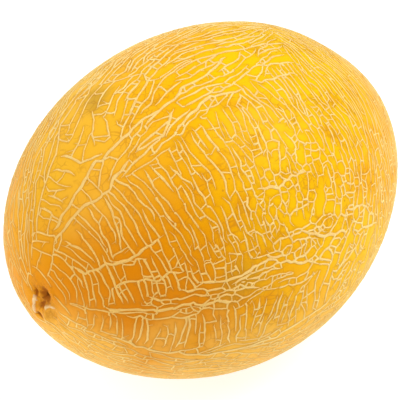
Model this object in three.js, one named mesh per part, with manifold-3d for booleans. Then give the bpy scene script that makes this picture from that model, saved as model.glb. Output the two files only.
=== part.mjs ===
// A netted yellow melon lying on its side, in millimetres, +Z up.
// The long axis runs along X, with the stem end at -X and the blossom end at +X.
// The fruit is one solid piece. It rests on a small flat spot at z = 0.

import * as THREE from 'three';
import { mergeVertices } from 'three/addons/utils/BufferGeometryUtils.js';
import Module from 'manifold-3d';

// Overall sizes of the fruit.
const MELON_LENGTH = 210;
const MELON_WIDTH = 158;
const MELON_HEIGHT = 151;

// Resting spot: how much of the belly is pressed flat, measured up from its lowest point.
const REST_FLAT_DEPTH = 1.5;

// Outline of the fruit along its length. A positive taper slims both ends a little.
const END_TAPER = 0.05;

// Slow swellings around the girth, each a share of the radius. Turns are measured
// about the long axis from straight up towards +Y, and lean says whether a swelling
// swaps sides between the two ends.
const SWELLINGS = [
  { name: 'oval girth', count: 2, share: 0.016, turn: 34, lean: 0 },
  { name: 'three soft sides', count: 3, share: 0.022, turn: -12, lean: 0 },
  { name: 'slight twist', count: 2, share: 0.016, turn: 37, lean: 1 },
];

// A shoulder high on the blossom end that grew flatter than the rest.
const SHOULDER_SHARE = 0.036;
const SHOULDER_TURN = -9;
const SHOULDER_ALONG = 141;
const SHOULDER_SPREAD = 15;

// Stem scar: a hollow where the stalk let go, with a low corky collar round it.
const SCAR_HOLLOW_RADIUS = 4.2;
const SCAR_HOLLOW_DEPTH = 3.0;
const SCAR_WALL = 1.3;
const SCAR_COLLAR_HEIGHT = 0.9;
const SCAR_COLLAR_WIDTH = 4.5;

// Blossom scar: a small button with a shallow ring round it.
const BUTTON_RADIUS = 3.5;
const BUTTON_HEIGHT = 0.7;
const BUTTON_RING_WIDTH = 3.0;
const BUTTON_RING_DEPTH = 0.5;

// Steps of the surface.
const SEGMENTS_AROUND = 72;
const RINGS_ALONG = 34;

const degrees = THREE.MathUtils.degToRad;
const meanRadius = (MELON_WIDTH + MELON_HEIGHT) / 4;

// Steps of a scar, each with its radius from the long axis and how far it stands
// out of the fruit's end. They run from the centre outwards.
const stemSteps = [
  { radius: 0, out: -SCAR_HOLLOW_DEPTH },
  { radius: SCAR_HOLLOW_RADIUS * 0.6, out: -SCAR_HOLLOW_DEPTH * 0.97 },
  { radius: SCAR_HOLLOW_RADIUS, out: -SCAR_HOLLOW_DEPTH * 0.85 },
  { radius: SCAR_HOLLOW_RADIUS + SCAR_WALL * 0.5, out: 0 },
  { radius: SCAR_HOLLOW_RADIUS + SCAR_WALL, out: SCAR_COLLAR_HEIGHT },
  {
    radius: SCAR_HOLLOW_RADIUS + SCAR_WALL + SCAR_COLLAR_WIDTH * 0.4,
    out: SCAR_COLLAR_HEIGHT * 0.7,
  },
  { radius: SCAR_HOLLOW_RADIUS + SCAR_WALL + SCAR_COLLAR_WIDTH, out: 0 },
];
const blossomSteps = [
  { radius: 0, out: BUTTON_HEIGHT * 0.7 },
  { radius: BUTTON_RADIUS * 0.55, out: BUTTON_HEIGHT },
  { radius: BUTTON_RADIUS, out: 0 },
  { radius: BUTTON_RADIUS + BUTTON_RING_WIDTH * 0.45, out: -BUTTON_RING_DEPTH },
  { radius: BUTTON_RADIUS + BUTTON_RING_WIDTH, out: 0 },
];

// Radius of the plain fruit at an angle from the stem pole, before its swellings.
function plainRadius(angle) {
  const c = Math.cos(angle);
  return meanRadius * Math.sin(angle) * (1 - END_TAPER * c * c);
}

// Angle from the nearer pole at which the plain fruit has the given radius.
function angleAtRadius(radius) {
  return Math.asin(radius / (meanRadius * (1 - END_TAPER)));
}

function makeProfile() {
  const profile = [];
  for (const step of stemSteps) {
    const angle = angleAtRadius(step.radius);
    const along = -MELON_LENGTH / 2 * Math.cos(angle) - step.out;
    profile.push(new THREE.Vector2(step.radius, along));
  }
  const first = angleAtRadius(stemSteps.at(-1).radius);
  const last = Math.PI - angleAtRadius(blossomSteps.at(-1).radius);
  for (let i = 1; i < RINGS_ALONG; i += 1) {
    const angle = first + (last - first) * i / RINGS_ALONG;
    const along = -MELON_LENGTH / 2 * Math.cos(angle);
    profile.push(new THREE.Vector2(plainRadius(angle), along));
  }
  for (const step of blossomSteps.slice().reverse()) {
    const angle = angleAtRadius(step.radius);
    const along = MELON_LENGTH / 2 * Math.cos(angle) + step.out;
    profile.push(new THREE.Vector2(step.radius, along));
  }
  return profile;
}

// How much wider or narrower the fruit is at one place than the plain shape.
function swell(turn, lengthwise) {
  const across = 1 - lengthwise * lengthwise;
  let share = 1;
  for (const { count, share: amount, turn: start, lean } of SWELLINGS) {
    const side = lean ? -lengthwise : 1;
    share += across * side * amount * Math.cos(count * (turn - degrees(start)));
  }
  const angle = Math.acos(THREE.MathUtils.clamp(lengthwise, -1, 1));
  const away = Math.hypot(
    angle - degrees(SHOULDER_ALONG),
    wrap(turn - degrees(SHOULDER_TURN)) * Math.sin(angle),
  );
  share -= SHOULDER_SHARE * Math.exp(-Math.pow(away / degrees(SHOULDER_SPREAD), 2));
  return share;
}

function wrap(angle) {
  return Math.atan2(Math.sin(angle), Math.cos(angle));
}

// The lathe turns the profile about its own Y. Each point is then laid along X and
// moved in or out to the fruit's true width, height and swellings.
function makeFruit() {
  const geometry = new THREE.LatheGeometry(makeProfile(), SEGMENTS_AROUND);
  geometry.deleteAttribute('normal');
  geometry.deleteAttribute('uv');
  const position = geometry.getAttribute('position');
  for (let i = 0; i < position.count; i += 1) {
    const x = position.getY(i);
    const side = position.getZ(i);
    const up = position.getX(i);
    const lengthwise = THREE.MathUtils.clamp(x / (MELON_LENGTH / 2), -1, 1);
    const share = swell(Math.atan2(side, up), lengthwise) / meanRadius;
    const y = side * share * MELON_WIDTH / 2;
    const z = up * share * MELON_HEIGHT / 2;
    position.setXYZ(i, x, y, z);
  }
  return mergeVertices(geometry, 1e-4);
}

// Keeps the triangles whose three corners differ, so the poles close cleanly.
function toSolid(wasm, geometry) {
  const index = geometry.getIndex();
  const triangles = [];
  for (let i = 0; i < index.count; i += 3) {
    const a = index.getX(i);
    const b = index.getX(i + 1);
    const c = index.getX(i + 2);
    if (a !== b && b !== c && c !== a) {
      triangles.push(a, b, c);
    }
  }
  const mesh = new wasm.Mesh({
    numProp: 3,
    vertProperties: new Float32Array(geometry.getAttribute('position').array),
    triVerts: new Uint32Array(triangles),
  });
  return new wasm.Manifold(mesh);
}

function toGeometry(solid) {
  const mesh = solid.getMesh();
  const geometry = new THREE.BufferGeometry();
  geometry.setAttribute('position', new THREE.BufferAttribute(mesh.vertProperties, 3));
  geometry.setIndex(new THREE.BufferAttribute(mesh.triVerts, 1));
  return geometry;
}

const wasm = await Module();
wasm.setup();

const fruit = makeFruit();
fruit.computeBoundingBox();
const box = fruit.boundingBox;
const middle = box.getCenter(new THREE.Vector3());
fruit.translate(-middle.x, -middle.y, -box.min.z - REST_FLAT_DEPTH);

const ground = new THREE.BoxGeometry(MELON_LENGTH, MELON_WIDTH, MELON_HEIGHT);
ground.deleteAttribute('normal');
ground.deleteAttribute('uv');
ground.translate(0, 0, -MELON_HEIGHT / 2);
const rested = toSolid(wasm, fruit).subtract(toSolid(wasm, mergeVertices(ground)));

const skin = new THREE.MeshStandardMaterial({
  color: 0xe9a81f,
  roughness: 0.5,
  metalness: 0,
});
const melon = new THREE.Mesh(toGeometry(rested), skin);
melon.name = 'melon';

const group = new THREE.Group();
group.add(melon);

export default group;
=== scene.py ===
"""A netted yellow melon lying on a pale floor.

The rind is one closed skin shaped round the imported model's box. Corky net lines grow
over it as cracks do: long ribs first, then lines along the grain of each region, then
links between them and short twigs. Lengths are in metres unless a name says otherwise.
"""

import math
import random

import bmesh
import bpy
import numpy as np
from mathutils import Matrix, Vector, kdtree


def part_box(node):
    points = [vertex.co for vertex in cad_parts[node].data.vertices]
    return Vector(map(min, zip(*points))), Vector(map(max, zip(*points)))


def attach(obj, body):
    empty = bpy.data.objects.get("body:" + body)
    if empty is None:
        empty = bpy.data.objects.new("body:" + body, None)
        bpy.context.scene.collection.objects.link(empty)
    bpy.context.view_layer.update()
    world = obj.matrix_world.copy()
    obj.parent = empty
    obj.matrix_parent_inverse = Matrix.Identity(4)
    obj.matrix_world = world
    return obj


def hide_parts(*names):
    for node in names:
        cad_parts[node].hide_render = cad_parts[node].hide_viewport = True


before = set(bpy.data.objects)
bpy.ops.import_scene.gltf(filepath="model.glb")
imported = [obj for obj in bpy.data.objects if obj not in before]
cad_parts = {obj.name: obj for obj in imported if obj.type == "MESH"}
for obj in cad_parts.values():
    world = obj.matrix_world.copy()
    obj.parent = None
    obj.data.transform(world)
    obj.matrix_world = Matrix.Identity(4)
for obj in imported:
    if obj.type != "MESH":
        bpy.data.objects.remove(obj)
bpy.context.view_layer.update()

MM = 0.001
TURN = 2 * math.pi

# The fruit's form. Positions on it are given as along, the angle from the stem pole
# (0) to the blossom pole (180), and turn, the angle about the long axis from straight
# up (0) towards +Y (90).
REST_FLAT_DEPTH = 1.5 * MM
STEM_LIP = 0.9 * MM
BUTTON_RISE = 0.5 * MM
END_TAPER = 0.05
SWELLINGS = (
    # count, share of the radius, turn in degrees, swaps sides between the ends
    (2, 0.016, 34, False),
    (3, 0.022, -12, False),
    (2, 0.016, 37, True),
)
SHOULDER = {"share": 0.036, "turn": -9, "along": 141, "spread": 15}

box_low, box_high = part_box("melon")
HALF_LENGTH = (box_high.x - box_low.x - STEM_LIP - BUTTON_RISE) / 2
FULL_HEIGHT = box_high.z - box_low.z + REST_FLAT_DEPTH
FULL_WIDTH = box_high.y - box_low.y
GIRTH_RADIUS = (FULL_WIDTH + FULL_HEIGHT) / 4


def wrap(angle):
    """The same angle between minus and plus half a turn."""
    return (angle + math.pi) % TURN - math.pi


def girth_share(along, turn):
    """The fruit's radius at a place, as a share of a plain ellipsoid's."""
    lengthwise = np.cos(along)
    across = np.sin(along) ** 2
    share = np.ones_like(along * turn)
    for count, amount, start, swaps in SWELLINGS:
        side = lengthwise if swaps else 1.0
        share = share + across * side * amount * np.cos(
            count * (turn - math.radians(start))
        )
    sideways = wrap(turn - math.radians(SHOULDER["turn"])) * np.sin(along)
    away = np.hypot(along - math.radians(SHOULDER["along"]), sideways)
    spread = math.radians(SHOULDER["spread"])
    share = share - SHOULDER["share"] * np.exp(-((away / spread) ** 2))
    return share * (1 - END_TAPER * lengthwise**2)


def unit_section(along, turn):
    """Sideways and upward position for a girth radius of one."""
    radius = np.sin(along) * girth_share(along, turn)
    return radius * np.sin(turn), radius * np.cos(turn)


def section_fit():
    """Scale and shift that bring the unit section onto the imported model's box."""
    along, turn = np.meshgrid(
        np.linspace(0, math.pi, 181), np.linspace(0, TURN, 361), indexing="ij"
    )
    side, up = unit_section(along, turn)
    wide = FULL_WIDTH / np.ptp(side)
    tall = FULL_HEIGHT / np.ptp(up)
    return wide, -side.min() * wide + box_low.y, tall, -up.min() * tall


WIDE, WIDE_START, TALL, TALL_START = section_fit()


def rind(along, turn):
    """Places on the smooth rind, one row of x, y, z for each along and turn."""
    along = np.asarray(along, float)
    turn = np.asarray(turn, float)
    side, up = unit_section(along, turn)
    x = -HALF_LENGTH * np.cos(along) + box_low.x + STEM_LIP + HALF_LENGTH
    y = side * WIDE + WIDE_START
    z = up * TALL + TALL_START - REST_FLAT_DEPTH
    return np.stack([x, y, z], axis=-1)


def outward(along, turn):
    """Unit normals of the smooth rind."""
    small = 1e-4
    lengthwise = rind(along + small, turn) - rind(along - small, turn)
    around = rind(along, turn + small) - rind(along, turn - small)
    normal = np.cross(lengthwise, around)
    normal /= np.linalg.norm(normal, axis=-1, keepdims=True) + 1e-12
    middle = np.array([0, 0, FULL_HEIGHT / 2])
    facing = np.sign(np.sum(normal * (rind(along, turn) - middle), axis=-1))
    return normal * facing[..., None]


# Net lines. Each region of the rind has its own grain, in degrees from lengthwise (0)
# to round the girth (90), its own gap between lines and run of a line in mm, and how
# bold its lines are and how often links join them.
REGIONS = [
    # name, along, turn, spread along, spread turn, grain, gap, run, bold, links
    ("top bundle", 85, 0, 27, 22, 0, 2.9, 27, 1.08, 0.34),
    ("upper cheek", 53, 10, 10, 11, 40, 6.5, 14, 0.95, 0.3),
    ("stem side lines", 44, 38, 24, 13, 0, 2.9, 50, 0.8, 0.35),
    ("stem side ladder", 26, 10, 13, 16, 88, 3.9, 13, 0.9, 0.15),
    ("left flank", 32, 318, 16, 22, 92, 3.2, 30, 0.85, 0.12),
    ("flank centre", 68, 325, 10, 12, 88, 3.3, 26, 0.85, 0.3),
    ("middle dashes", 54, 292, 18, 8, 86, 2.6, 13, 0.82, 0.4),
    ("lower ribs", 52, 278, 24, 5, 2, 2.7, 26, 0.92, 1.0),
    ("lower weave", 77, 283, 12, 9, 172, 3.1, 20, 1.0, 1.0),
    ("belly ladder", 50, 261, 26, 7, 88, 3.2, 17, 0.95, 0.2),
    ("under rim", 62, 235, 42, 13, 0, 3.0, 30, 0.75, 0.5),
    ("ridge fan", 92, 333, 14, 8, 87, 2.7, 30, 0.75, 0.2),
    ("right net", 90, 309, 13, 15, 84, 3.4, 20, 0.82, 1.0),
    ("right hooks", 97, 277, 12, 11, 40, 3.9, 16, 1.15, 1.0),
    ("blossom side", 120, 328, 14, 30, 88, 2.4, 32, 0.62, 0.12),
    ("lower blossom side", 114, 275, 12, 22, 78, 3.0, 16, 0.88, 0.6),
    ("back top", 85, 58, 36, 18, 0, 3.5, 40, 0.9, 0.5),
    ("back ladder", 62, 105, 24, 20, 88, 4.0, 24, 1.0, 0.2),
    ("back net", 104, 128, 20, 28, 76, 3.5, 18, 0.9, 1.0),
    ("back flank", 32, 150, 15, 32, 90, 4.2, 24, 0.9, 0.15),
    ("back under", 82, 190, 38, 20, 0, 3.0, 34, 0.8, 0.4),
    ("blossom end", 160, 0, 15, 90, 48, 3.0, 13, 0.72, 0.9),
    ("blossom end under", 160, 180, 15, 90, 120, 3.0, 13, 0.72, 0.9),
    ("blossom back", 134, 60, 14, 30, 68, 2.9, 18, 0.7, 0.6),
    ("blossom under", 132, 190, 14, 36, 112, 2.9, 18, 0.7, 0.6),
]

# The ribs that split first, each a list of along and turn in degrees: bold ones, then
# finer ones.
RIBS = [
    [(21, 357), (28, 353), (36, 350), (41, 344), (48, 346), (53, 347)],
    [
        (25, 2), (30, 359), (36, 357), (41, 358),
        (47, 358), (52, 356), (57, 355), (68, 353),
    ],
    [(62, 352), (67, 352), (72, 352), (77, 353), (84, 352), (92, 354)],
    [(66, 342), (70, 343), (75, 344), (79, 345), (83, 342), (88, 340)],
    [(55, 347), (59, 346), (63, 344), (66, 346), (71, 350)],
    [(84, 357), (92, 357), (99, 353), (106, 352), (112, 350)],
    [(20, 328), (22, 315), (26, 314), (31, 313), (36, 310), (41, 311), (47, 312)],
    [
        (24, 281), (29, 278), (34, 278), (39, 277),
        (43, 276), (49, 277), (54, 275), (60, 273),
    ],
    [(51, 286), (57, 284), (63, 283), (70, 285), (76, 280), (84, 276), (90, 272)],
    [(26, 251), (35, 248), (44, 247), (54, 246), (66, 248), (78, 252), (90, 256)],
    [(97, 287), (101, 285), (105, 282), (108, 277), (107, 273), (103, 274), (97, 278)],
    [(81, 288), (85, 285), (90, 282), (97, 279)],
    [(74, 310), (79, 307), (84, 308), (89, 306)],
    [(50, 358), (47, 1), (45, 5), (46, 12), (46, 20)],
]
FINE_RIBS = [
    [(14, 27), (24, 25), (33, 28), (40, 29), (54, 34), (62, 33)],
    [(12, 42), (23, 35), (32, 34), (41, 37), (51, 34), (59, 33), (68, 32)],
    [(22, 20), (30, 22), (38, 21), (46, 22), (55, 29), (64, 29), (72, 27)],
    [(10, 350), (15, 352), (21, 355), (25, 357)],
    [(29, 345), (29, 334), (28, 317), (27, 308)],
    [(41, 344), (39, 335), (37, 321), (35, 315)],
    [(36, 347), (34, 335), (33, 322), (32, 313)],
    [(30, 320), (29, 307), (29, 290), (30, 282)],
    [(41, 19), (42, 11), (41, 3)],
    [(37, 21), (36, 12), (37, 5)],
    [(34, 16), (34, 6), (34, 1)],
    [(30, 21), (29, 8), (29, 356)],
    [(60, 16), (56, 11), (51, 4)],
    [(59, 9), (57, 4), (55, 359)],
    [(82, 337), (84, 338), (86, 341)],
    [(87, 344), (91, 345), (96, 345), (101, 343), (107, 340)],
    [(91, 342), (93, 339), (97, 338), (103, 338)],
    [(28, 296), (34, 297), (40, 295), (45, 294), (49, 293)],
    [(31, 313), (33, 309), (37, 307), (41, 305)],
    [(37, 286), (41, 282), (45, 281), (49, 281), (53, 278)],
    [(46, 285), (52, 283), (55, 281), (59, 278), (63, 277), (67, 275)],
    [
        (30, 274), (34, 272), (37, 270), (42, 272),
        (45, 271), (50, 271), (53, 273), (58, 269),
    ],
    [(77, 295), (77, 291), (78, 285)],
    [(69, 23), (72, 14), (75, 9), (74, 5), (76, 1)],
    [(8, 34), (9, 46), (8, 60), (6, 78), (5, 100)],
    [(7, 304), (8, 290), (10, 272), (12, 255)],
]

# Places of the larger corky scabs, in degrees.
SCABS = [(90, 325), (91, 324), (84, 311), (85, 309), (61, 281), (63, 280), (108, 312)]

SEED = 4117
STEP = 1.1 * MM
HIT = 0.95 * MM
LOOK_AHEAD = 3.0 * MM
OVERRUN = 3.4 * MM
BREAK_ANGLE = 0.6
CROWDED = 1.9 * MM
CELL = 2.5 * MM
POLE_GAP = math.radians(7)
BLOSSOM_GAP = math.radians(3.2)
PULL = 0.6 * MM
PULL_REACH = 2.4 * MM
RIB_KINK = 0.55 * MM
KINK_RUN = (2.0 * MM, 5.0 * MM)
REGION_FIELDS = ("gap", "run", "bold", "links")

dice = random.Random(SEED)


def blend_regions():
    """Each region's habit, blended over the rind, one value a degree."""
    along, turn = np.meshgrid(np.arange(181.0), np.arange(360.0), indexing="ij")
    total = np.full(along.shape, 1e-9)
    blended = {name: np.zeros(along.shape) for name in REGION_FIELDS}
    grain_x = np.zeros(along.shape)
    grain_y = np.zeros(along.shape)
    for _, at_along, at_turn, wide, high, grain, *habit in REGIONS:
        sideways = (turn - at_turn + 180) % 360 - 180
        weight = np.exp(-(((along - at_along) / wide) ** 2) - (sideways / high) ** 2)
        total += weight
        grain_x += weight * math.cos(2 * math.radians(grain))
        grain_y += weight * math.sin(2 * math.radians(grain))
        for name, value in zip(REGION_FIELDS, habit):
            blended[name] += weight * value
    fields = {name: values / total for name, values in blended.items()}
    fields["grain"] = np.arctan2(grain_y, grain_x) / 2
    return fields


HABIT = blend_regions()


def habit(name, along, turn):
    """A region value at a place: grain in radians, gap and run in metres."""
    row = min(180, max(0, round(math.degrees(along))))
    column = round(math.degrees(turn)) % 360
    value = float(HABIT[name][row, column])
    return value * MM if name in ("gap", "run") else value


class Drift:
    """A slow, smooth wandering over the rind, made of a few crossed waves."""

    def __init__(self, length, count=7):
        self.waves = []
        for _ in range(count):
            lift = dice.uniform(-1, 1)
            spin = dice.uniform(0, TURN)
            flat = math.sqrt(1 - lift * lift)
            pitch = TURN / (length * dice.uniform(0.7, 1.5))
            direction = (flat * math.cos(spin), flat * math.sin(spin), lift)
            self.waves.append(
                tuple(pitch * d for d in direction) + (dice.uniform(0, TURN),)
            )
        self.scale = math.sqrt(2 / count)

    def at(self, spot):
        x, y, z = spot
        return self.scale * sum(
            math.sin(a * x + b * y + c * z + start) for a, b, c, start in self.waves
        )


def plain_spot(along, turn):
    """A place on the plain oval, near enough for measuring gaps between lines."""
    s = math.sin(along)
    return (
        -HALF_LENGTH * math.cos(along),
        GIRTH_RADIUS * s * math.sin(turn),
        GIRTH_RADIUS * s * math.cos(turn),
    )


def stretch(along):
    """Metres for each radian of along and of turn."""
    s, c = math.sin(along), math.cos(along)
    return math.hypot(HALF_LENGTH * s, GIRTH_RADIUS * c), GIRTH_RADIUS * max(s, 0.05)


def half_wrap(angle):
    """The same undirected angle between minus and plus a quarter turn."""
    return (angle + math.pi / 2) % math.pi - math.pi / 2


class Net:
    """Every net line grown so far, with its points kept in cells of space."""

    def __init__(self):
        self.cells = {}
        self.lines = []

    def nearest(self, spot, reach, ignore=()):
        """(distance, line, along, turn, heading) of the nearest point in reach."""
        x, y, z = spot
        i, j, k = int(x // CELL), int(y // CELL), int(z // CELL)
        span = range(-math.ceil(reach / CELL), math.ceil(reach / CELL) + 1)
        best = None
        limit = reach * reach
        for a in span:
            for b in span:
                for c in span:
                    for point in self.cells.get((i + a, j + b, k + c), ()):
                        (px, py, pz), line = point[0], point[1]
                        away = (px - x) ** 2 + (py - y) ** 2 + (pz - z) ** 2
                        if away < limit and line not in ignore:
                            limit = away
                            best = point
        return (math.sqrt(limit),) + best[1:] if best else None

    def add(self, path, width, joined=(None, None)):
        """Keeps a line: its places, its width, and the lines its two ends joined."""
        line = len(self.lines)
        self.lines.append({"path": path, "width": width, "joined": joined})
        for index, (along, turn) in enumerate(path):
            before = path[max(index - 1, 0)]
            after = path[min(index + 1, len(path) - 1)]
            tall, wide = stretch(along)
            heading = math.atan2(
                wrap(after[1] - before[1]) * wide, (after[0] - before[0]) * tall
            )
            spot = plain_spot(along, turn)
            key = tuple(int(v // CELL) for v in spot)
            entry = (spot, line, along, turn, heading)
            self.cells.setdefault(key, []).append(entry)
        return line


def grow_arm(net, along, turn, heading, reach, across, ignore, wander):
    """Runs a crack from a place until it meets a line, tires or nears a pole.

    across is 0 for a crack that follows the grain and a quarter turn for one that
    crosses it. Returns the path after the start, and the line that it met, if any.
    """
    path = []
    gone = 0.0
    straight_left = 0.0
    bend = 0.0
    overrun = 0.0
    while gone < reach + overrun:
        if straight_left <= 0:
            bend = dice.gauss(0, wander)
            straight_left = dice.uniform(*KINK_RUN)
        spot = plain_spot(along, turn)
        aim = habit("grain", along, turn) + across + 0.25 * drift.at(spot)
        turning = half_wrap(aim - heading)
        if abs(turning) > BREAK_ANGLE:
            break
        heading += 0.25 * turning
        course = heading + bend
        tall, wide = stretch(along)
        along += STEP * math.cos(course) / tall
        turn += STEP * math.sin(course) / wide
        gone += STEP
        straight_left -= STEP
        if not POLE_GAP < along < math.pi - BLOSSOM_GAP:
            break
        spot = plain_spot(along, turn)
        met = net.nearest(spot, CROWDED, ignore if gone < 2.4 * MM else ignore[:1])
        if met and met[0] < HIT:
            path.append((met[2], turn + wrap(met[3] - turn)))
            return path, met[1]
        if gone > reach - STEP and overrun < OVERRUN:
            near = net.nearest(spot, LOOK_AHEAD, ignore)
            eager = dice.random() < 0.3 + 0.65 * habit("links", along, turn)
            if eager and near and abs(half_wrap(near[4] - course)) > 0.6:
                overrun += STEP
        if met and abs(half_wrap(met[4] - course)) < 0.5:
            ahead = (met[2] - along) * tall
            aside = wrap(met[3] - turn) * wide
            side = math.cos(course) * aside - math.sin(course) * ahead
            heading -= math.copysign(0.16, side)
        path.append((along, turn))
    return path, None


def crack(net, along, turn, across, reach, width, wander):
    """Grows one line both ways from a place."""
    heading = habit("grain", along, turn) + across
    own = (len(net.lines),)
    ahead, met_ahead = grow_arm(
        net, along, turn, heading, reach / 2, across, own, wander
    )
    behind, met_behind = grow_arm(
        net, along, turn, heading + math.pi, reach / 2, across, own, wander
    )
    path = behind[::-1] + [(along, turn)] + ahead
    if len(path) > 3:
        net.add(path, width, (met_behind, met_ahead))


def random_place():
    """A place on the rind, evenly spread over it."""
    return math.acos(1 - 2 * dice.random()), dice.uniform(0, TURN)


def draw_ribs(net):
    """The first ribs, cut into steps, kinked a little every few millimetres."""
    for rib in RIBS + FINE_RIBS:
        path = []
        left = 0.0
        drawn = (0.0, 0.0)
        goal = (0.0, 0.0)
        for (a0, t0), (a1, t1) in zip(rib, rib[1:]):
            a0, t0, a1, t1 = (math.radians(v) for v in (a0, t0, a1, t1))
            tall, wide = stretch(a0)
            sideways = wrap(t1 - t0)
            length = math.hypot((a1 - a0) * tall, sideways * wide)
            steps = max(1, round(length / STEP))
            for step in range(steps):
                if left <= 0:
                    left = dice.uniform(*KINK_RUN)
                    goal = (dice.gauss(0, RIB_KINK), dice.gauss(0, RIB_KINK))
                share = step / steps
                pull = min(1.0, STEP / max(left, STEP))
                drawn = tuple(d + (g - d) * pull for d, g in zip(drawn, goal))
                left -= STEP
                path.append(
                    (
                        a0 + (a1 - a0) * share + drawn[0] / tall,
                        t0 + sideways * share + drawn[1] / wide,
                    )
                )
        bold = rib in RIBS
        width = dice.uniform(1.2, 1.5) if bold else dice.uniform(0.86, 1.1)
        net.add(path, width * MM)


def split_along_grain(net, tries):
    """Lines along each region's grain, wherever the gap to the next is wide enough."""
    for _ in range(tries):
        along, turn = random_place()
        if not POLE_GAP * 1.4 < along < math.pi - BLOSSOM_GAP * 1.3:
            continue
        gap = habit("gap", along, turn) * dice.uniform(0.7, 1.0)
        if along < math.radians(16):
            gap *= 1.15
        if net.nearest(plain_spot(along, turn), gap):
            continue
        reach = habit("run", along, turn) * dice.uniform(0.45, 1.45)
        width = habit("bold", along, turn) * dice.uniform(0.62, 1.12) * MM
        wander = 0.12 + 0.14 * habit("links", along, turn)
        crack(net, along, turn, 0, reach, width, wander)


def split_links(net, tries):
    """Links across the grain from line to line, and some that tire half-way."""
    roots = Net()
    count = len(net.lines)
    for _ in range(tries):
        line = net.lines[dice.randrange(count)]
        along, turn = line["path"][dice.randrange(len(line["path"]))]
        if not POLE_GAP * 1.6 < along < math.pi - BLOSSOM_GAP:
            continue
        gap = habit("gap", along, turn)
        links = habit("links", along, turn)
        spot = plain_spot(along, turn)
        if dice.random() > links or roots.nearest(spot, gap * (1.25 - 0.6 * links)):
            continue
        side = dice.choice((-1, 1))
        across = math.pi / 2 + dice.gauss(0, 0.22)
        heading = habit("grain", along, turn) + side * across
        parent = net.nearest(spot, HIT)
        ignore = (len(net.lines), parent[1])
        path, met = grow_arm(
            net, along, turn, heading, gap * 1.9, across, ignore, 0.3
        )
        if met is None:
            path = path[: max(2, round(len(path) * dice.uniform(0.3, 0.6)))]
        if len(path) < 2:
            continue
        roots.add([(along, turn)], 0)
        width = habit("bold", along, turn) * dice.uniform(0.5, 0.95) * MM
        net.add([(along, turn)] + path, width, (ignore[1], met))


def split_twigs(net, tries):
    """Short dead-end twigs that leave a line at a steep angle."""
    count = len(net.lines)
    for _ in range(tries):
        line = net.lines[dice.randrange(count)]
        along, turn = line["path"][dice.randrange(len(line["path"]))]
        if not POLE_GAP * 1.6 < along < math.pi - BLOSSOM_GAP:
            continue
        gap = habit("gap", along, turn)
        across = dice.choice((-1, 1)) * dice.uniform(0.9, 1.9)
        heading = habit("grain", along, turn) + across
        parent = net.nearest(plain_spot(along, turn), HIT)
        ignore = (len(net.lines), parent[1])
        reach = gap * dice.uniform(0.3, 0.8)
        path, met = grow_arm(
            net, along, turn, heading, reach, across, ignore, 0.25
        )
        if met is not None or len(path) < 2:
            continue
        width = habit("bold", along, turn) * dice.uniform(0.4, 0.7) * MM
        net.add([(along, turn)] + path, width, (ignore[1], None))


def scatter_scabs(net, count):
    """Short broad corky scabs, lying on the rind between the lines."""
    places = [tuple(math.radians(v) for v in spot) for spot in SCABS]
    places += [random_place() for _ in range(count)]
    for along, turn in places:
        if not 2 * POLE_GAP < along < math.pi - 2 * POLE_GAP:
            continue
        course = dice.uniform(0, TURN)
        tall, wide = stretch(along)
        path = []
        for _ in range(dice.randrange(3, 5)):
            path.append((along, turn))
            course += dice.uniform(-0.9, 0.9)
            along += 0.9 * MM * math.cos(course) / tall
            turn += 0.9 * MM * math.sin(course) / wide
        net.add(path, dice.uniform(1.5, 2.3) * MM)


def pull_junctions(net):
    """Draws each line towards those that join it, so corners open out as cork does."""
    moves = []
    for line in net.lines:
        for end, other in zip((0, -1), line["joined"]):
            if other is None or len(line["path"]) < 3:
                continue
            along, turn = line["path"][end]
            inward = line["path"][2 if end == 0 else -3]
            tall, wide = stretch(along)
            rise = (inward[0] - along) * tall
            side = wrap(inward[1] - turn) * wide
            far = math.hypot(rise, side) + 1e-9
            links = habit("links", along, turn)
            pull = PULL * (0.15 + 0.85 * min(1, max(0, links - 0.5) / 0.45)) / far
            moves.append((line, end, other, rise * pull, side * pull))
    for line, end, other, rise, side in moves:
        along, turn = line["path"][end]
        tall, wide = stretch(along)
        crossed = net.lines[other]["path"]
        for index, (a, t) in enumerate(crossed):
            away = math.hypot((a - along) * tall, wrap(t - turn) * wide)
            if away < PULL_REACH:
                share = 1 - away / PULL_REACH
                crossed[index] = (a + rise * share / tall, t + side * share / wide)
    for line, end, other, rise, side in moves:
        along, turn = line["path"][end]
        tall, wide = stretch(along)
        crossed = net.lines[other]["path"]
        nearest = min(
            crossed,
            key=lambda p: math.hypot((p[0] - along) * tall, wrap(p[1] - turn) * wide),
        )
        line["path"][end] = (nearest[0], turn + wrap(nearest[1] - turn))


drift = Drift(26 * MM)


def grow_net():
    """The whole net, oldest and boldest lines first."""
    net = Net()
    draw_ribs(net)
    split_along_grain(net, 26000)
    split_links(net, 12000)
    split_twigs(net, 2000)
    pull_junctions(net)
    scatter_scabs(net, 26)
    return net


net = grow_net()

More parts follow.
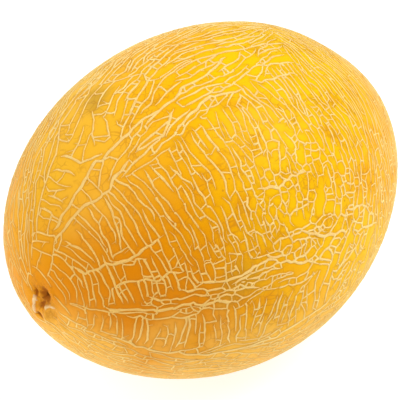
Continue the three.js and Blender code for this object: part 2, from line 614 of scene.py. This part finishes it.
# The stem scar, where the stalk tore off and the skin folded in. Places are sideways
# and upward from the long axis in mm, then the length and width of the feature, the way
# its length points, how far it stands out, how brown it is, turning to painted shade
# in the deepest hollows, and how bleached it is.
SCAR = (
    # name, sideways, upward, length, width, way in degrees, rise, brown and hollow
    # shade, bleached
    ("folded navel", 1.0, -1.0, 10.0, 8.0, 90, -1.5, 0.24, 0.0),
    ("torn hollow", -1.9, 2.0, 3.2, 1.9, 74, -2.6, 1.25, 0.0),
    ("slit", 4.8, 0.4, 2.1, 0.8, 88, -1.9, 0.95, 0.0),
    ("middle ridge", 1.5, 1.4, 2.6, 1.1, 85, 0.8, 0.0, 0.0),
    ("valley", 1.3, -6.0, 3.8, 1.5, 117, -2.1, 0.6, 0.0),
    ("torn flap", 6.2, -8.4, 5.6, 1.0, 94, 1.6, -0.3, 1.3),
    ("flap root", 5.2, -3.2, 1.5, 1.1, 60, 0.6, 0.0, 0.7),
    ("small hole", 4.2, -13.6, 1.9, 1.2, 30, -2.8, 1.6, -0.6),
    ("lobe brow", -2.6, -4.0, 2.4, 1.0, 140, 1.3, -0.1, 0.75),
    ("lobe brow end", -6.3, -2.2, 2.2, 1.0, 168, 1.0, 0.0, 0.8),
    ("round lobe", -2.0, -10.2, 5.2, 2.6, 93, 2.0, -0.2, 0.12),
    ("lobe dimple", -7.2, -7.4, 3.3, 1.4, 92, -1.1, 0.15, 0.0),
    ("fold tail", -11.3, -14.2, 5.0, 1.3, 55, 0.9, 0.0, 0.0),
    ("outer rim", -6.6, 5.4, 4.0, 1.5, 50, 0.6, 0.0, 0.1),
    ("corky cheek", 3.6, 7.0, 3.4, 2.4, 60, 0.5, 0.12, 0.30),
    ("side tear", 10.4, -9.0, 2.6, 0.8, 80, 0.5, 0.0, 0.5),
)
SCAR_REACH = 24.0


def waves(side, up, pitch, start):
    """Uneven ripples with no plain direction, between minus and plus one."""
    first = np.sin(pitch * side + 1.3 * np.sin(0.8 * pitch * up + start))
    return first * np.sin(1.2 * pitch * up + 0.5 * pitch * side + 2 * start)


def scar_relief(along, turn):
    """How far the scars stand out, how brown they are, deepening to painted shade in
    the hollows, and how bleached and ragged they are.
    """
    radius = GIRTH_RADIUS * along / MM
    side = radius * np.sin(turn)
    up = radius * np.cos(turn)
    bent = side + 0.35 * waves(side, up, 1.1, 0.4)
    rise = np.zeros_like(along * turn)
    brown_and_shade = np.zeros_like(rise)
    bleached = np.zeros_like(rise)
    for _, at_side, at_up, length, width, way, height, dark, light in SCAR:
        c, s = math.cos(math.radians(way)), math.sin(math.radians(way))
        u = (bent - at_side) * c + (up - at_up) * s
        v = -(bent - at_side) * s + (up - at_up) * c
        share = np.exp(-((u / length) ** 2) - (v / width) ** 2)
        rise += height * share
        brown_and_shade += dark * share
        bleached += light * share
    ragged = np.exp(-((radius / 9.0) ** 4))
    wrinkles = 0.16 * waves(side, up, 2.3, 1.0) + 0.1 * waves(side, up, 4.6, 2.0)
    rise += wrinkles * ragged
    near = np.clip((SCAR_REACH - radius) / 6.0, 0, 1)

    # The blossom end: a low brown button in a shallow ring.
    far = GIRTH_RADIUS * (math.pi - along) / MM
    uneven = 1 + 0.05 * np.sin(3 * turn + 1) + 0.06 * np.sin(8 * turn)
    button = np.exp(-((far * uneven / 3.6) ** 4))
    ring = np.exp(-(((far - 5.2) / 1.5) ** 2))
    crease = 0.12 * np.sin(9 * turn + 1.2 * np.sin(2 * turn))
    crease *= np.exp(-((far / 9) ** 2))
    rise = rise * near + 0.5 * button - 0.5 * ring + crease
    brown_and_shade = brown_and_shade * near + 0.55 * button + 0.2 * ring
    bleached = bleached * near + 0.5 * button
    ragged = ragged + button
    return rise * MM, brown_and_shade, bleached, ragged


# Beads: each net line becomes a low corky bead, foot sunk into the rind. A section has
# its share of the half width and of the height, from one foot over the top to the
# other, and closes underneath.
FOOT_DEPTH = 0.35 * MM
SECTION = (
    (-1.2, 0.0),
    (-0.88, 0.62),
    (-0.42, 1.0),
    (0.42, 1.0),
    (0.88, 0.62),
    (1.2, 0.0),
)
BAKE_WIDTH = 340 * MM
BAKE_ROW = 3.2 * MM
TIP_TAPER = 3.2 * MM
FLARE = 0.45
BEADS = (
    # name, narrowest and widest line it takes, in metres
    ("net_ribs", 0.92 * MM, 1.0),
    ("net_lines", 0.74 * MM, 0.92 * MM),
    ("net_links", 0.58 * MM, 0.74 * MM),
    ("net_threads", 0.0, 0.58 * MM),
)


def line_frames(path, width, joined):
    """Centre, sideways and outward directions, and half width, along one line."""
    along = np.array([p[0] for p in path])
    turn = np.array([p[1] for p in path])
    out = outward(along, turn)
    centre = rind(along, turn) + out * scar_relief(along, turn)[0][:, None]
    forward = np.gradient(centre, axis=0)
    forward /= np.linalg.norm(forward, axis=1, keepdims=True) + 1e-12
    sideways = np.cross(out, forward)
    gone = np.concatenate(
        [[0], np.cumsum(np.linalg.norm(np.diff(centre, axis=0), axis=1))]
    )
    share = np.ones(len(path))
    for other, inward in zip(joined, (gone, gone[-1] - gone)):
        if other is None:
            share = np.minimum(share, 0.2 + 0.8 * inward / TIP_TAPER)
        else:
            share = share + FLARE * np.exp(-inward / (0.9 * MM))
    swing = dice.uniform(0, TURN)
    slow = 1 + 0.22 * np.sin(gone / (2.3 * MM) + swing) * np.sin(gone / (5.1 * MM))
    rough = np.array([dice.uniform(0.85, 1.15) for _ in path])
    half = width / 2 * share * slow * rough
    return centre, sideways, out, half, gone


def bead_rows(line):
    """Section corners, height shares and bake places for every step of one line."""
    centre, sideways, out, half, gone = line_frames(
        line["path"], line["width"], line["joined"]
    )
    # A closed point at either end.
    first = centre[:1] - (centre[1:2] - centre[:1]) * 0.3
    last = centre[-1:] + (centre[-1:] - centre[-2:-1]) * 0.3
    centre = np.concatenate([first, centre, last])
    sideways = np.concatenate([sideways[:1], sideways, sideways[-1:]])
    out = np.concatenate([out[:1], out, out[-1:]])
    half = np.concatenate([[0], half, [0]])
    gone = np.concatenate([[gone[0] - 0.3 * STEP], gone, [gone[-1] + 0.3 * STEP]])
    closed = (half > 0).astype(float)
    height = (0.14 * MM + 0.38 * half) * closed
    corners = []
    for across, up in SECTION:
        lift = up * (height + FOOT_DEPTH * closed) - FOOT_DEPTH
        corners.append(
            centre
            + sideways * (half * across * 1.08)[:, None]
            + out * lift[:, None]
        )
    corners.append(corners[0])
    return np.stack(corners, axis=1), half, gone


def new_piece(name, bm, material):
    """A finished piece from a bmesh, riding on the fruit in place of its solid."""
    mesh = bpy.data.meshes.new(name)
    bm.to_mesh(mesh)
    bm.free()
    mesh.materials.append(material)
    mesh.shade_smooth()
    piece = bpy.data.objects.new(name, mesh)
    bpy.context.scene.collection.objects.link(piece)
    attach(piece, "root")
    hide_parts("melon")
    return piece


def make_beads(name, lines, material):
    """One long strip, folded into a bead on every line and cut between the lines."""
    columns = len(SECTION) + 1
    rows = [bead_rows(line) for line in lines]
    corners = np.concatenate([row[0] for row in rows])
    starts = np.cumsum([0] + [len(row[0]) for row in rows])
    bm = bmesh.new()
    bmesh.ops.create_grid(
        bm, x_segments=columns - 1, y_segments=len(corners) - 1, size=1
    )
    strip = bpy.data.meshes.new(name + "_strip")
    bm.to_mesh(strip)
    bm.free()
    corners[..., 2] = np.maximum(corners[..., 2], 0.05 * MM)
    strip.vertices.foreach_set("co", corners.reshape(-1))

    # How far up the bead each corner sits, for the material.
    up = np.array([s[1] for s in SECTION] + [SECTION[0][1]])
    crest = strip.attributes.new("crest", "FLOAT", "POINT")
    crest.data.foreach_set("value", np.tile(up, len(corners)))
    tone = strip.attributes.new("tone", "FLOAT", "POINT")
    shades = [np.full(len(row[0]), dice.random()) for row in rows]
    tone.data.foreach_set("value", np.repeat(np.concatenate(shades), columns))

    # Bake map: lines lie end to end in rows, each as wide as its own outline.
    places = np.zeros((len(corners), columns, 2))
    pen, level = 0.0, 0
    for row, start in zip(rows, starts):
        length = row[2][-1] - row[2][0]
        if pen + length > BAKE_WIDTH:
            pen, level = 0.0, level + 1
        span = slice(start, start + len(row[0]))
        places[span, :, 0] = (pen + row[2] - row[2][0])[:, None]
        places[span, :, 1] = level * BAKE_ROW + np.linspace(
            0.05 * BAKE_ROW, 0.95 * BAKE_ROW, columns
        )
        pen += length + 0.4 * MM
    places[..., 0] /= BAKE_WIDTH
    places[..., 1] /= (level + 1) * BAKE_ROW
    layer = strip.uv_layers.new(name="OFBake")
    loops = np.zeros(len(strip.loops), np.int32)
    strip.loops.foreach_get("vertex_index", loops)
    layer.uv.foreach_set("vector", places.reshape(-1, 2)[loops].reshape(-1))

    bm = bmesh.new()
    bm.from_mesh(strip)
    bpy.data.meshes.remove(strip)
    bm.faces.ensure_lookup_table()
    seams = [
        bm.faces[(start - 1) * (columns - 1) + column]
        for start in starts[1:-1]
        for column in range(columns - 1)
    ]
    bmesh.ops.delete(bm, geom=seams, context="FACES")
    bmesh.ops.remove_doubles(bm, verts=bm.verts[:], dist=1e-7)
    bmesh.ops.dissolve_degenerate(bm, edges=bm.edges[:], dist=1e-7)
    bmesh.ops.recalc_face_normals(bm, faces=bm.faces[:])
    return new_piece(name, bm, material)


# The skin's rings crowd together towards the scars at either end: share of the rings,
# then along in degrees.
RING_SPREAD = ((0.0, 0.0), (0.2, 13.0), (0.91, 171.5), (1.0, 180.0))
RINGS = 280
SEGMENTS = 350
PILLOW = 0.22 * MM
PILLOW_REACH = 1.6 * MM


def skin_places(bm):
    """Along and turn of every vertex of a ball whose poles lie on Z."""
    unit = np.array([v.co for v in bm.verts])
    down = 1 - np.arccos(np.clip(unit[:, 2], -1, 1)) / math.pi
    shares, degrees = zip(*RING_SPREAD)
    along = np.radians(np.interp(down, shares, degrees))
    return along, np.arctan2(unit[:, 1], unit[:, 0])


def distance_to_net(places):
    """How far each place is from the nearest net line."""
    points = [rind(*np.array(line["path"]).T) for line in net.lines]
    points = np.concatenate(points)
    tree = kdtree.KDTree(len(points))
    for index, point in enumerate(points):
        tree.insert(point, index)
    tree.balance()
    return np.array([tree.find(place)[2] for place in places])


def make_skin(material):
    """The golden skin, folded in at the stem and softly swollen between the lines."""
    bm = bmesh.new()
    bmesh.ops.create_uvsphere(bm, u_segments=SEGMENTS, v_segments=RINGS, radius=1)
    along, turn = skin_places(bm)
    places = rind(along, turn)
    gap = distance_to_net(places)
    out = outward(along, turn)
    out[along < 1e-6] = (-1, 0, 0)
    out[along > math.pi - 1e-6] = (1, 0, 0)
    relief, brown_and_shade, bleached, ragged = scar_relief(along, turn)
    swell = PILLOW * (1 - np.exp(-gap / PILLOW_REACH)) * (1 - np.clip(ragged, 0, 1))
    places = places + out * (swell + relief)[:, None]
    places[:, 2] = np.maximum(places[:, 2], 0)
    for vertex, place in zip(bm.verts, places):
        vertex.co = place
    bm.normal_update()
    bmesh.ops.recalc_face_normals(bm, faces=bm.faces[:])
    piece = new_piece("skin", bm, material)
    for name, values in (
        ("net_gap", gap / MM),
        ("scar_brown_and_shade", brown_and_shade),
        ("scar_bleached", bleached),
        ("scar_ragged", ragged),
    ):
        layer = piece.data.attributes.new(name, "FLOAT", "POINT")
        layer.data.foreach_set("value", values)
    return piece


def node(tree, kind, inputs=None, **settings):
    """Adds a node, sets it, and fills its inputs with values or links."""
    made = tree.nodes.new(kind)
    for name, value in settings.items():
        setattr(made, name, value)
    for name, value in (inputs or {}).items():
        socket = made.inputs[name]
        if isinstance(value, bpy.types.NodeSocket):
            tree.links.new(value, socket)
        else:
            socket.default_value = value
    return made


def mix(tree, share, first, second):
    """A colour part-way from first to second."""
    made = tree.nodes.new("ShaderNodeMix")
    made.data_type = "RGBA"
    for index, value in ((0, share), (6, first), (7, second)):
        if isinstance(value, bpy.types.NodeSocket):
            tree.links.new(value, made.inputs[index])
        elif index:
            made.inputs[index].default_value = (*value, 1)
        else:
            made.inputs[index].default_value = value
    return made.outputs[2]


def math_node(tree, operation, *values, clamp=False):
    """A Math node's result."""
    made = node(tree, "ShaderNodeMath", operation=operation, use_clamp=clamp)
    for socket, value in zip(made.inputs, values):
        if isinstance(value, bpy.types.NodeSocket):
            tree.links.new(value, socket)
        else:
            socket.default_value = value
    return made.outputs[0]


def ramp(tree, value, low, high, out_low=0.0, out_high=1.0):
    """value taken smoothly from low..high to out_low..out_high."""
    inputs = {
        "Value": value,
        "From Min": low,
        "From Max": high,
        "To Min": out_low,
        "To Max": out_high,
    }
    made = node(tree, "ShaderNodeMapRange", inputs, interpolation_type="SMOOTHSTEP")
    return made.outputs["Result"]


def new_group(name, inputs, outputs):
    """A shader node group with named sockets: (tree, its input node, its output)."""
    tree = bpy.data.node_groups.new(name, "ShaderNodeTree")
    for label, kind, default in inputs:
        socket = tree.interface.new_socket(label, in_out="INPUT", socket_type=kind)
        if default is not None:
            socket.default_value = default
    for label, kind in outputs:
        tree.interface.new_socket(label, in_out="OUTPUT", socket_type=kind)
    source = tree.nodes.new("NodeGroupInput")
    sink = tree.nodes.new("NodeGroupOutput")
    return tree, source.outputs, sink.inputs


FLOAT, VECTOR = "NodeSocketFloat", "NodeSocketVector"


def noise_value(tree, place, scale, detail=3.0, roughness=0.5):
    inputs = {
        "Vector": place,
        "Scale": scale,
        "Detail": detail,
        "Roughness": roughness,
    }
    return node(tree, "ShaderNodeTexNoise", inputs).outputs["Fac"]


def make_patch_group():
    """A soft patch round a place on the fruit, with an uneven edge."""
    tree, given, result = new_group(
        "soft patch",
        (
            ("Place", VECTOR, None),
            ("Centre", VECTOR, (0, 0, 0)),
            ("Radius", FLOAT, 0.03),
            ("Soft", FLOAT, 0.5),
            ("Uneven", FLOAT, 0.3),
        ),
        (("Mask", FLOAT),),
    )
    away = node(
        tree, "ShaderNodeVectorMath", {0: given["Place"], 1: given["Centre"]},
        operation="DISTANCE",
    ).outputs["Value"]
    share = math_node(tree, "DIVIDE", away, given["Radius"])
    noise = noise_value(tree, given["Place"], 60.0, 4.0, 0.6)
    wobble = math_node(tree, "SUBTRACT", noise, 0.5)
    wobble = math_node(tree, "MULTIPLY", wobble, given["Uneven"])
    share = math_node(tree, "ADD", share, math_node(tree, "MULTIPLY", wobble, 3.0))
    low = math_node(tree, "SUBTRACT", 1.0, given["Soft"])
    high = math_node(tree, "ADD", 1.0, given["Soft"])
    tree.links.new(ramp(tree, share, low, high, 1.0, 0.0), result["Mask"])
    return tree


def make_ripeness_and_painted_light_group(patch):
    """How amber, sunny and bruised the rind is at a place, with masks for a painted
    sheen on the upper cheek and a painted reflection of the floor on the underside.
    """
    tree, given, result = new_group(
        "ripeness_and_painted_light",
        (("Place", VECTOR, None),),
        (
            ("Amber", FLOAT),
            ("Sunny", FLOAT),
            ("Painted_sheen", FLOAT),
            ("Floor_reflection", FLOAT),
            ("Bruise", FLOAT),
        ),
    )
    place = given["Place"]

    def spread(along, turn, radius, soft, uneven):
        centre = rind(math.radians(along), math.radians(turn))
        inputs = {
            "Place": place,
            "Centre": tuple(float(v) for v in centre),
            "Radius": radius * MM,
            "Soft": soft,
            "Uneven": uneven,
        }
        made = node(tree, "ShaderNodeGroup", node_tree=patch)
        for name, value in inputs.items():
            if isinstance(value, bpy.types.NodeSocket):
                tree.links.new(value, made.inputs[name])
            else:
                made.inputs[name].default_value = value
        return made.outputs["Mask"]

    amber = spread(27, 283, 60, 0.75, 0.2)
    behind = math_node(tree, "MULTIPLY", spread(40, 120, 58, 0.7, 0.3), 0.7)
    tree.links.new(math_node(tree, "MAXIMUM", amber, behind), result["Amber"])
    tree.links.new(spread(98, 336, 38, 0.8, 0.3), result["Sunny"])
    # Painted sheen: a pale, washed patch on the upper cheek stands in for a soft
    # highlight.
    tree.links.new(spread(46, 8, 34, 0.7, 0.5), result["Painted_sheen"])
    # Painted reflection: the underside and lower rim turn paler and washed, as if lit
    # by the pale floor.
    underside = spread(74, 210, 60, 0.32, 0.3)
    floor_reflection = math_node(tree, "MAXIMUM", underside, spread(25, 208, 25, 0.5, 0.3))
    lower_rim_reflection = math_node(tree, "MULTIPLY", spread(41, 256, 14, 0.6, 0.7), 0.55)
    floor_reflection = math_node(tree, "MAXIMUM", floor_reflection, lower_rim_reflection)
    tree.links.new(floor_reflection, result["Floor_reflection"])
    smudge = spread(65, 17, 7, 0.8, 1.0)
    rusty = math_node(tree, "MULTIPLY", spread(62, 281, 8, 0.8, 1.2), 0.8)
    tree.links.new(math_node(tree, "MAXIMUM", smudge, rusty), result["Bruise"])
    return tree


def group_node(tree, group, place):
    made = node(tree, "ShaderNodeGroup", node_tree=group)
    tree.links.new(place, made.inputs["Place"])
    return made


def start_material(name):
    material = bpy.data.materials.new(name)
    material.use_nodes = True
    tree = material.node_tree
    shader = tree.nodes["Principled BSDF"]
    place = node(tree, "ShaderNodeTexCoord").outputs["Object"]
    return material, tree, shader, place


def attribute(tree, name):
    return node(
        tree, "ShaderNodeAttribute", attribute_type="GEOMETRY", attribute_name=name
    ).outputs["Fac"]


YELLOW = (0.97, 0.59, 0.0015)
GOLD = (0.95, 0.46, 0.0015)
AMBER = (0.70, 0.195, 0.001)
# A pale, washed straw colour for the painted sheen on the upper cheek.
SHEEN_STRAW = (0.97, 0.555, 0.045)
# A pale, washed colour for the painted reflection of the floor on the underside.
FLOOR_REFLECTION_PALE = (0.95, 0.53, 0.08)
OLIVE = (0.42, 0.24, 0.02)
# Russet for hairline cracks and specks, and also for the painted shade along the net
# lines.
RUSSET_AND_NET_SHADE = (0.50, 0.19, 0.012)
TISSUE = (0.50, 0.21, 0.02)
BLEACHED = (0.86, 0.63, 0.33)
BURNT = (0.36, 0.10, 0.006)
# Nearly black, for the painted shade in the deepest hollows of the scar.
HOLLOW_SHADE_BLACK = (0.09, 0.022, 0.003)


def make_skin_finish(ripeness_and_painted_light):
    """Waxy golden rind: mottled, amber towards the stem side, with fine specks, a
    painted sheen on the upper cheek, a painted floor reflection underneath and painted
    shade along the net and in the scar's hollows.
    """
    material, tree, shader, place = start_material("golden_rind")
    habit_at = group_node(tree, ripeness_and_painted_light, place)
    broad = noise_value(tree, place, 17.0, 3.0, 0.5)
    middling = noise_value(tree, place, 75.0, 4.0, 0.55)
    fine = noise_value(tree, place, 420.0, 3.0, 0.6)

    sunny = math_node(tree, "MULTIPLY", habit_at.outputs["Sunny"], 0.7)
    ripe = ramp(tree, broad, 0.36, 0.64, 0.0, 0.6)
    ripe = math_node(tree, "ADD", ripe, sunny, clamp=True)
    color = mix(tree, ripe, GOLD, YELLOW)
    deeper = math_node(tree, "MULTIPLY", ramp(tree, middling, 0.50, 0.72), 0.35)
    color = mix(tree, deeper, color, AMBER)
    amber = math_node(tree, "MULTIPLY", habit_at.outputs["Amber"], 0.88)
    color = mix(tree, amber, color, AMBER)
    # Painted sheen: the upper cheek turns pale and washed, as a soft highlight would.
    painted_sheen = math_node(tree, "MULTIPLY", habit_at.outputs["Painted_sheen"], 0.55)
    color = mix(tree, painted_sheen, color, SHEEN_STRAW)
    # Painted reflection: the underside takes a paler, washed colour from the pale
    # floor.
    floor_reflection = math_node(tree, "MULTIPLY", habit_at.outputs["Floor_reflection"], 0.85)
    color = mix(tree, floor_reflection, color, FLOOR_REFLECTION_PALE)
    bruise = math_node(tree, "MULTIPLY", habit_at.outputs["Bruise"], 0.5)
    color = mix(tree, bruise, color, OLIVE)

    # Fine hairline cracks that never corked over.
    hair = node(
        tree,
        "ShaderNodeTexVoronoi",
        {"Vector": place, "Scale": 210.0, "Randomness": 1.0},
        feature="DISTANCE_TO_EDGE",
    ).outputs["Distance"]
    hair = ramp(tree, hair, 0.02, 0.065, 1.0, 0.0)
    patchy = ramp(tree, middling, 0.46, 0.60)
    hair = math_node(tree, "MULTIPLY", hair, math_node(tree, "MULTIPLY", patchy, 0.34))
    color = mix(tree, hair, color, RUSSET_AND_NET_SHADE)

    # Small brown specks, and a darker margin along the net that is painted shade at the
    # foot of the lines, partly a brown crack edge.
    speck = node(
        tree, "ShaderNodeTexVoronoi", {"Vector": place, "Scale": 150.0}
    ).outputs["Distance"]
    speck = ramp(tree, speck, 0.05, 0.11, 0.5, 0.0)
    speck = math_node(tree, "MULTIPLY", speck, ramp(tree, broad, 0.50, 0.56))
    color = mix(tree, speck, color, RUSSET_AND_NET_SHADE)
    # Painted shade: the rind darkens next to every net line, partly as a brown crack
    # edge.
    net_edge_shade_and_brown = ramp(tree, attribute(tree, "net_gap"), 0.3, 1.5, 0.34, 0.0)
    color = mix(tree, net_edge_shade_and_brown, color, RUSSET_AND_NET_SHADE)

    # Scar tissue: rusty all over, brown in the hollows and partly painted shade there,
    # nearly black in the deepest as painted shade, bleached on the torn edges.
    coarse = noise_value(tree, place, 620.0, 3.0, 0.6)
    uneven = math_node(tree, "MULTIPLY", math_node(tree, "SUBTRACT", coarse, 0.5), 1.3)
    ragged = attribute(tree, "scar_ragged")
    tissue = ramp(tree, coarse, 0.35, 0.65, 0.15, 0.6)
    tissue = math_node(tree, "MULTIPLY", tissue, ragged)
    color = mix(tree, tissue, color, TISSUE)
    bleached = math_node(tree, "ADD", attribute(tree, "scar_bleached"), uneven)
    bleached = ramp(tree, bleached, 0.28, 0.85, 0.0, 0.85)
    color = mix(tree, bleached, color, BLEACHED)
    brown_and_shade = math_node(tree, "MULTIPLY", uneven, 0.5)
    brown_and_shade = math_node(tree, "ADD", attribute(tree, "scar_brown_and_shade"), brown_and_shade)
    color = mix(tree, ramp(tree, brown_and_shade, 0.12, 0.62, 0.0, 0.85), color, BURNT)
    # Painted shade: the deepest hollows of the scar turn nearly black.
    color = mix(tree, ramp(tree, brown_and_shade, 0.75, 1.45, 0.0, 0.8), color, HOLLOW_SHADE_BLACK)
    tree.links.new(color, shader.inputs["Base Color"])

    rough = ramp(tree, middling, 0.3, 0.7, 0.36, 0.50)
    scar = math_node(tree, "MULTIPLY", ragged, 1.0, clamp=True)
    rougher = math_node(tree, "MULTIPLY", scar, 0.2)
    rough = math_node(tree, "ADD", rough, rougher, clamp=True)
    tree.links.new(rough, shader.inputs["Roughness"])
    shader.inputs["Specular IOR Level"].default_value = 0.06

    pores = noise_value(tree, place, 1300.0, 2.0, 0.6)
    dimples = noise_value(tree, place, 260.0, 3.0, 0.5)
    height = math_node(tree, "MULTIPLY", pores, 0.10)
    dimpled = math_node(tree, "MULTIPLY", dimples, 0.5)
    height = math_node(tree, "ADD", height, dimpled)
    split = math_node(tree, "MULTIPLY", hair, 0.8)
    height = math_node(tree, "SUBTRACT", height, split)
    torn = math_node(tree, "MULTIPLY", math_node(tree, "MULTIPLY", scar, fine), 1.6)
    height = math_node(tree, "ADD", height, torn)
    relief = {"Height": height, "Strength": 0.5, "Distance": 0.35 * MM}
    bump = node(tree, "ShaderNodeBump", relief)
    tree.links.new(bump.outputs["Normal"], shader.inputs["Normal"])
    return material


CREAM = (0.97, 0.745, 0.29)
TAN = (0.91, 0.60, 0.20)
HONEY = (0.80, 0.475, 0.115)
# Brown for dusty specks on the cork, and also for the painted shade at each bead's
# foot.
CORK_DUST_AND_FOOT_SHADE = (0.58, 0.26, 0.02)


def make_cork_finish(ripeness_and_painted_light):
    """Dry corky net: cream on the crest, tan in places, darker at the foot as painted
    shade.
    """
    material, tree, shader, place = start_material("corky_net")
    habit_at = group_node(tree, ripeness_and_painted_light, place)
    grain = noise_value(tree, place, 900.0, 3.0, 0.65)
    patches = noise_value(tree, place, 230.0, 3.0, 0.55)
    tone = attribute(tree, "tone")
    tanned = math_node(tree, "MULTIPLY", ramp(tree, patches, 0.4, 0.62), 0.55)
    tanned = math_node(tree, "ADD", math_node(tree, "MULTIPLY", tone, 0.45), tanned)
    color = mix(tree, tanned, CREAM, TAN)
    amber = math_node(tree, "MULTIPLY", habit_at.outputs["Amber"], 0.88)
    # Less honey on the cork where the painted floor reflection lies on the underside.
    off_floor_reflection = ramp(tree, habit_at.outputs["Floor_reflection"], 0.0, 1.0, 1.0, 0.2)
    amber = math_node(tree, "MULTIPLY", amber, off_floor_reflection)
    color = mix(tree, amber, color, HONEY)
    dusty = ramp(tree, grain, 0.56, 0.75, 0.0, 0.35)
    color = mix(tree, dusty, color, CORK_DUST_AND_FOOT_SHADE)
    # Painted shade: each bead darkens towards its foot, where it meets the rind.
    foot = ramp(tree, attribute(tree, "crest"), 0.56, 0.82, 0.9, 0.0)
    color = mix(tree, foot, color, CORK_DUST_AND_FOOT_SHADE)
    tree.links.new(color, shader.inputs["Base Color"])
    tree.links.new(ramp(tree, grain, 0.3, 0.7, 0.62, 0.85), shader.inputs["Roughness"])
    shader.inputs["Specular IOR Level"].default_value = 0.1
    relief = {"Height": grain, "Strength": 0.6, "Distance": 0.12 * MM}
    bump = node(tree, "ShaderNodeBump", relief)
    tree.links.new(bump.outputs["Normal"], shader.inputs["Normal"])
    return material


patch_group = make_patch_group()
ripeness_and_painted_light_group = make_ripeness_and_painted_light_group(patch_group)
skin_finish = make_skin_finish(ripeness_and_painted_light_group)
cork_finish = make_cork_finish(ripeness_and_painted_light_group)

make_skin(skin_finish)
for name, narrowest, widest in BEADS:
    chosen = [line for line in net.lines if narrowest <= line["width"] < widest]
    make_beads(name, chosen, cork_finish)


# The studio. The camera stands at an azimuth and elevation in degrees, aimed a little
# aside of and below the fruit's middle.
AZIMUTH, ELEVATION = -47.5, 35.1
CAMERA_DISTANCE = 1.0
LENS = 195
AIM_ASIDE, AIM_BELOW = 1.6 * MM, 3.2 * MM
SKY_LIGHT = 0.31
SKY_SEEN = 0.97
FLOOR_GREY = (0.5, 0.5, 0.5, 1)
FLOOR_NEAR = (0.74, 0.75, 0.77)
FLOOR_FAR = (0.83, 0.835, 0.84)
LIGHTS = (
    # name, place, size and power
    ("key", (0.45, -0.52, 0.95), 0.7, 9.0),
    ("cheek", (-0.9, 0.3, 0.75), 0.7, 6.4),
    ("back_fill", (0.3, 0.95, 0.45), 0.8, 2.0),
)
middle = Vector((0, 0, FULL_HEIGHT / 2 - REST_FLAT_DEPTH))


def make_camera():
    """The scene's camera."""
    data = bpy.data.cameras.new("camera")
    data.lens = LENS
    data.clip_end = 30
    camera = bpy.data.objects.new("camera", data)
    bpy.context.scene.collection.objects.link(camera)
    bpy.context.scene.camera = camera
    az, el = math.radians(AZIMUTH), math.radians(ELEVATION)
    level = math.cos(el)
    back = Vector((math.sin(az) * level, -math.cos(az) * level, math.sin(el)))
    right = Vector((math.cos(az), math.sin(az), 0))
    up = back.cross(right)
    target = middle - right * AIM_ASIDE - up * AIM_BELOW
    camera.location = target + back * CAMERA_DISTANCE
    camera.rotation_euler = (-back).to_track_quat("-Z", "Y").to_euler()


def make_floor():
    """A pale floor that glows a little more with distance, to meet the backdrop."""
    mesh = bpy.data.meshes.new("floor")
    bm = bmesh.new()
    bmesh.ops.create_grid(bm, x_segments=1, y_segments=1, size=6)
    bm.to_mesh(mesh)
    bm.free()
    floor = bpy.data.objects.new("floor", mesh)
    material, tree, shader, place = start_material("pale_floor")
    shader.inputs["Base Color"].default_value = FLOOR_GREY
    shader.inputs["Roughness"].default_value = 0.9
    far = node(tree, "ShaderNodeVectorMath", {"Vector": place}, operation="LENGTH")
    fade = ramp(tree, far.outputs["Value"], 0.3, 1.6)
    glow = mix(tree, fade, FLOOR_NEAR, FLOOR_FAR)
    tree.links.new(glow, shader.inputs["Emission Color"])
    shader.inputs["Emission Strength"].default_value = 1.0
    mesh.materials.append(material)
    bpy.context.scene.collection.objects.link(floor)


def make_backdrop():
    """White all round: soft as a light, and paler where it is seen."""
    world = bpy.data.worlds.new("studio")
    bpy.context.scene.world = world
    world.use_nodes = True
    tree = world.node_tree
    backdrop = tree.nodes["Background"]
    seen = node(tree, "ShaderNodeLightPath").outputs["Is Camera Ray"]
    inputs = {"Value": seen, "To Min": SKY_LIGHT, "To Max": SKY_SEEN}
    strength = node(tree, "ShaderNodeMapRange", inputs)
    tree.links.new(strength.outputs["Result"], backdrop.inputs["Strength"])
    backdrop.inputs["Color"].default_value = (1, 1, 1, 1)


def soft_light(name, place, size, power):
    """A square soft light aimed at the middle of the fruit."""
    data = bpy.data.lights.new(name, "AREA")
    data.shape = "RECTANGLE"
    data.size = data.size_y = size
    data.energy = power
    lamp = bpy.data.objects.new(name, data)
    lamp.location = place
    aim = middle - Vector(place)
    lamp.rotation_euler = aim.to_track_quat("-Z", "Y").to_euler()
    bpy.context.scene.collection.objects.link(lamp)


make_camera()
make_floor()
make_backdrop()
for light in LIGHTS:
    soft_light(*light)
bpy.context.scene.view_settings.view_transform = "Standard"
